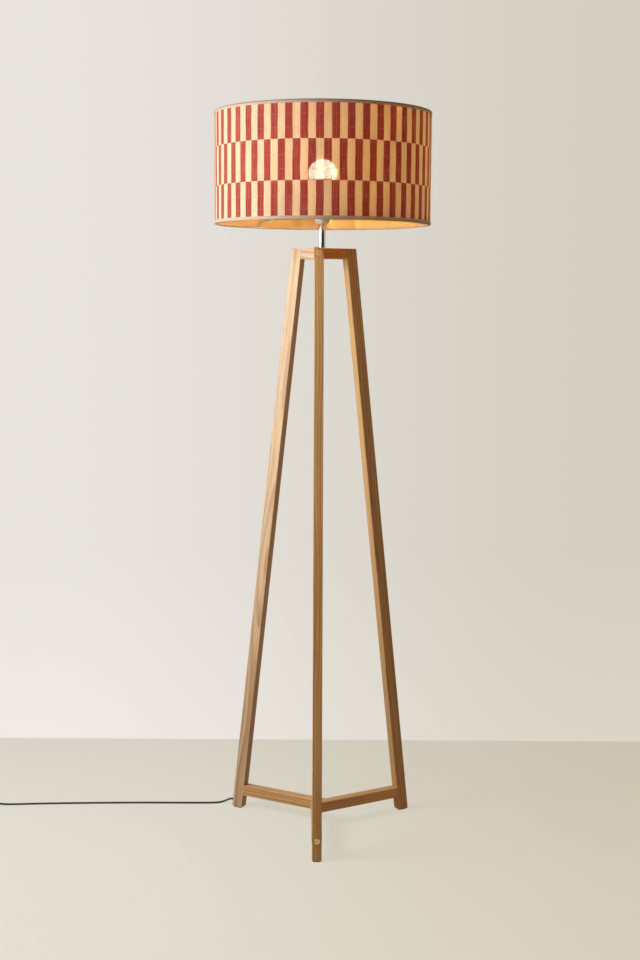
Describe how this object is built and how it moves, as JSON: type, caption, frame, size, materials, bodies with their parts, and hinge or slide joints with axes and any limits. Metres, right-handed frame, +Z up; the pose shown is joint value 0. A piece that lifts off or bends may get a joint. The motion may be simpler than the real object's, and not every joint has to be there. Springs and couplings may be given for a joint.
{
  "type": "tripod floor lamp",
  "caption": "Floor lamp with a wooden tripod, pinwheel hub and stretcher, a drum shade of checked straw fabric, an E27 LED bulb and a mains lead with an in-line switch.",
  "frame": {"origin": "on the floor, on the lamp's axis", "axes": "+Z up along the stem and shade axis, -Y towards the front leg, +X to the right seen from the front"},
  "size_m": [1.1231, 0.45, 1.522],
  "materials": {
    "leg_wood": "satin oak, straight grain",
    "bar_wood": "satin oak, straight grain",
    "bolt_brass": "brushed",
    "insert_zinc": "zinc plated",
    "pad_felt": "pressed felt",
    "cord": "dark brown PVC, slight gloss",
    "fittings_plastic": "dark brown moulded plastic",
    "rocker_plastic": "dark brown moulded plastic",
    "tie_fabric": "woven hook and loop strap",
    "plated_steel": "nickel plated",
    "stem_chrome": "polished",
    "holder_plastic": "white moulded plastic",
    "holder_ceramic": "white ceramic",
    "contact_brass": "stamped",
    "bulb_cap_metal": "rolled thread",
    "bulb_plastic": "white moulded plastic",
    "led_board": "white solder mask",
    "bulb_dome": "opal diffuser, lit warm white",
    "shade_wire": "white coated wire",
    "shade_fabric": "woven straw, red and natural check",
    "shade_tape": "cotton bias tape"
  },
  "bodies": {
    "tripod": {"centre_contact": "contact_brass", "cord_coil": "cord", "cord_link": "cord", "cord_run": "cord", "cord_tail": "cord", "cord_tie": "tie_fabric", "front_foot_pad": "pad_felt", "front_hub_bar": "bar_wood", "front_leg": "leg_wood", "front_lower_bolt": "bolt_brass", "front_lower_insert": "insert_zinc", "front_stretcher_bar": "bar_wood", "front_upper_bolt": "bolt_brass", "front_upper_insert": "insert_zinc", "holder_body": "holder_plastic", "holder_cap": "holder_plastic", "holder_core": "holder_ceramic", "holder_set_screw": "plated_steel", "hub_nut": "bolt_brass", "hub_washer": "plated_steel", "inner_lead": "cord", "lamp_tube": "plated_steel", "left_foot_pad": "pad_felt", "left_hub_bar": "bar_wood", "left_leg": "leg_wood", "left_lower_bolt": "bolt_brass", "left_lower_insert": "insert_zinc", "left_stretcher_bar": "bar_wood", "left_upper_bolt": "bolt_brass", "left_upper_insert": "insert_zinc", "plug_body": "fittings_plastic", "plug_pin_far": "plated_steel", "plug_pin_near": "plated_steel", "right_foot_pad": "pad_felt", "right_hub_bar": "bar_wood", "right_leg": "leg_wood", "right_lower_bolt": "bolt_brass", "right_lower_insert": "insert_zinc", "right_stretcher_bar": "bar_wood", "right_upper_bolt": "bolt_brass", "right_upper_insert": "insert_zinc", "rocker_pin": "plated_steel", "screw_shell": "contact_brass", "stem_tube": "stem_chrome", "strain_relief": "fittings_plastic", "switch_base": "fittings_plastic", "switch_cover": "fittings_plastic"},
    "shade": {"shade_fitter": "shade_wire", "shade_top_ring": "shade_wire", "shade_skin": "shade_fabric", "shade_bottom_tape": "shade_tape", "shade_top_tape": "shade_tape"},
    "clamp_ring": {"shade_clamp_ring": "holder_plastic"},
    "bulb": {"bulb_cap": "bulb_cap_metal", "bulb_body": "bulb_plastic", "led_board": "led_board", "bulb_dome": "bulb_dome"},
    "rocker": {"switch_rocker": "rocker_plastic"}
  },
  "joints": [
    {"name": "shade_turn", "type": "hinge", "parent": "tripod", "child": "shade", "pos_m": [0, 0, 1.3415], "axis": [0, 0, 1], "continuous": true},
    {"name": "clamp_ring_turn", "type": "hinge", "parent": "tripod", "child": "clamp_ring", "pos_m": [0, 0, 1.3477], "axis": [0, 0, 1], "range_deg": [0, 900]},
    {"name": "bulb_turn", "type": "hinge", "parent": "tripod", "child": "bulb", "pos_m": [0, 0, 1.33], "axis": [0, 0, 1], "range_deg": [0, 900]},
    {"name": "rocker_tip", "type": "hinge", "parent": "tripod", "child": "rocker", "pos_m": [-0.78, 0.1005, 0.014], "axis": [0, -1, 0], "range_deg": [0, 14]}
  ]
}
